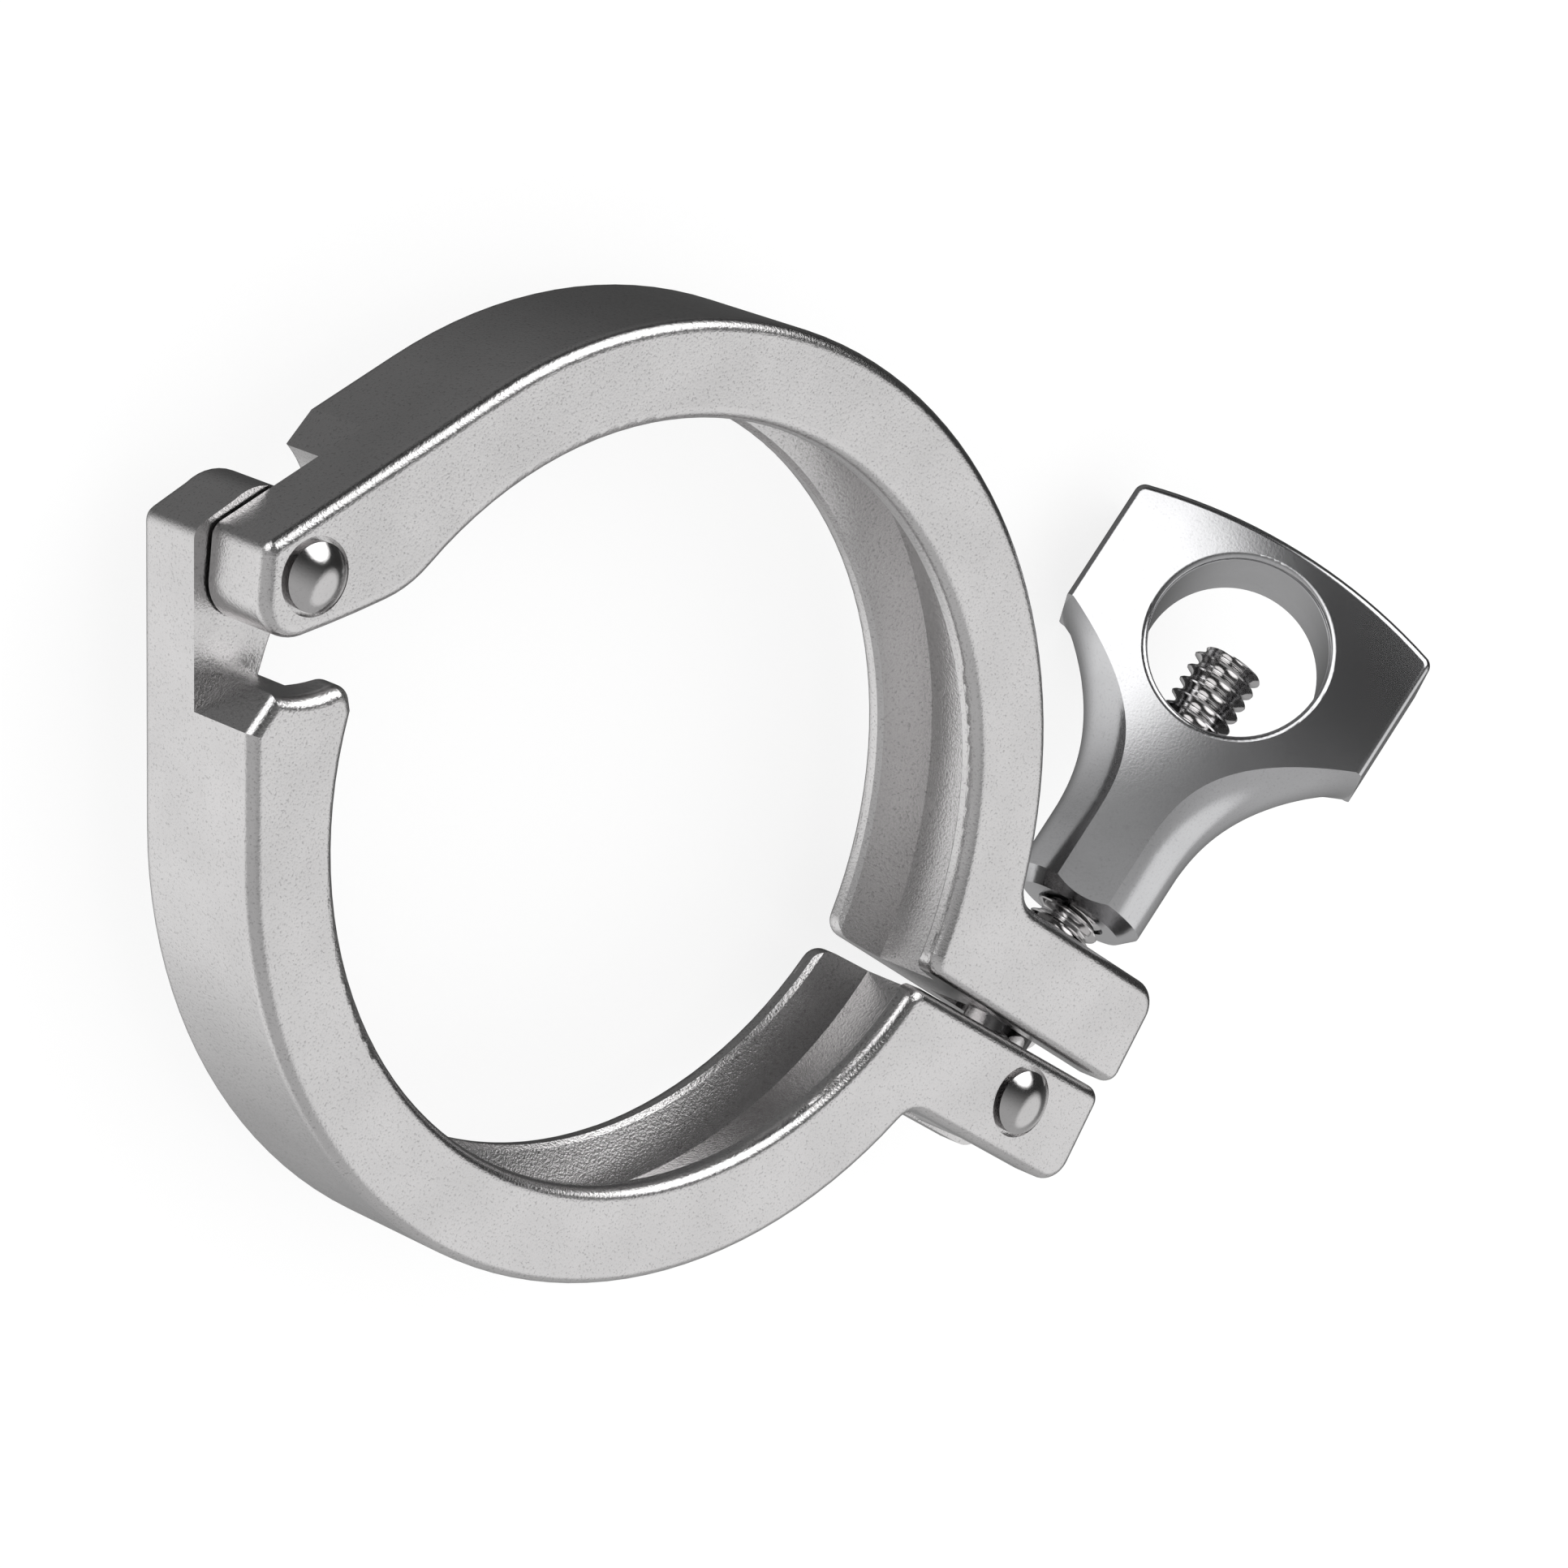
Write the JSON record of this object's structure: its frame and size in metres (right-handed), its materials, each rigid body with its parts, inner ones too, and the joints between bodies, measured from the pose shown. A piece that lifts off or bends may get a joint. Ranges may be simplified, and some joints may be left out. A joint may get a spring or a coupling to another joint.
{
  "type": "sanitary hinged clamp",
  "caption": "Hinged ring clamp with a V groove inside, swing bolt and wing nut, for joining sanitary tube ferrules.",
  "frame": {"origin": "on the bore axis of the lower half, at half the clamp's width", "axes": "+Z along the bore axis towards the domed pin heads, +X from the hinge pin to the bolt lugs, +Y towards the upper half"},
  "size_m": [0.1244, 0.0841, 0.0288],
  "materials": {
    "cast_steel": "investment cast stainless steel, tumbled satin with rounded edges",
    "pin_steel": "turned stainless rivet with a polished domed head",
    "bolt_steel": "bright stainless steel with a rolled thread",
    "nut_steel": "cast stainless steel, smooth satin polish"
  },
  "bodies": {
    "lower": {"lower_half": "cast_steel", "hinge_pin": "pin_steel", "swing_bolt_pin": "pin_steel"},
    "upper": {"upper_half": "cast_steel"},
    "bolt": {"swing_bolt": "bolt_steel"},
    "nut": {"wing_nut": "nut_steel"}
  },
  "joints": [
    {"name": "clamp_hinge", "type": "hinge", "parent": "lower", "child": "upper", "pos_m": [-0.0431, 0, 0], "axis": [0, 0, 1], "range_deg": [-0.4, 0.5]},
    {"name": "bolt_swing", "type": "hinge", "parent": "lower", "child": "bolt", "pos_m": [0.051, -0.0122, 0], "axis": [0, 0, -1], "range_deg": [-10, 150]},
    {"name": "nut_turn", "type": "hinge", "parent": "bolt", "child": "nut", "pos_m": [0.051, -0.0122, 0], "axis": [0.2096, 0.9778, 0], "continuous": true}
  ]
}
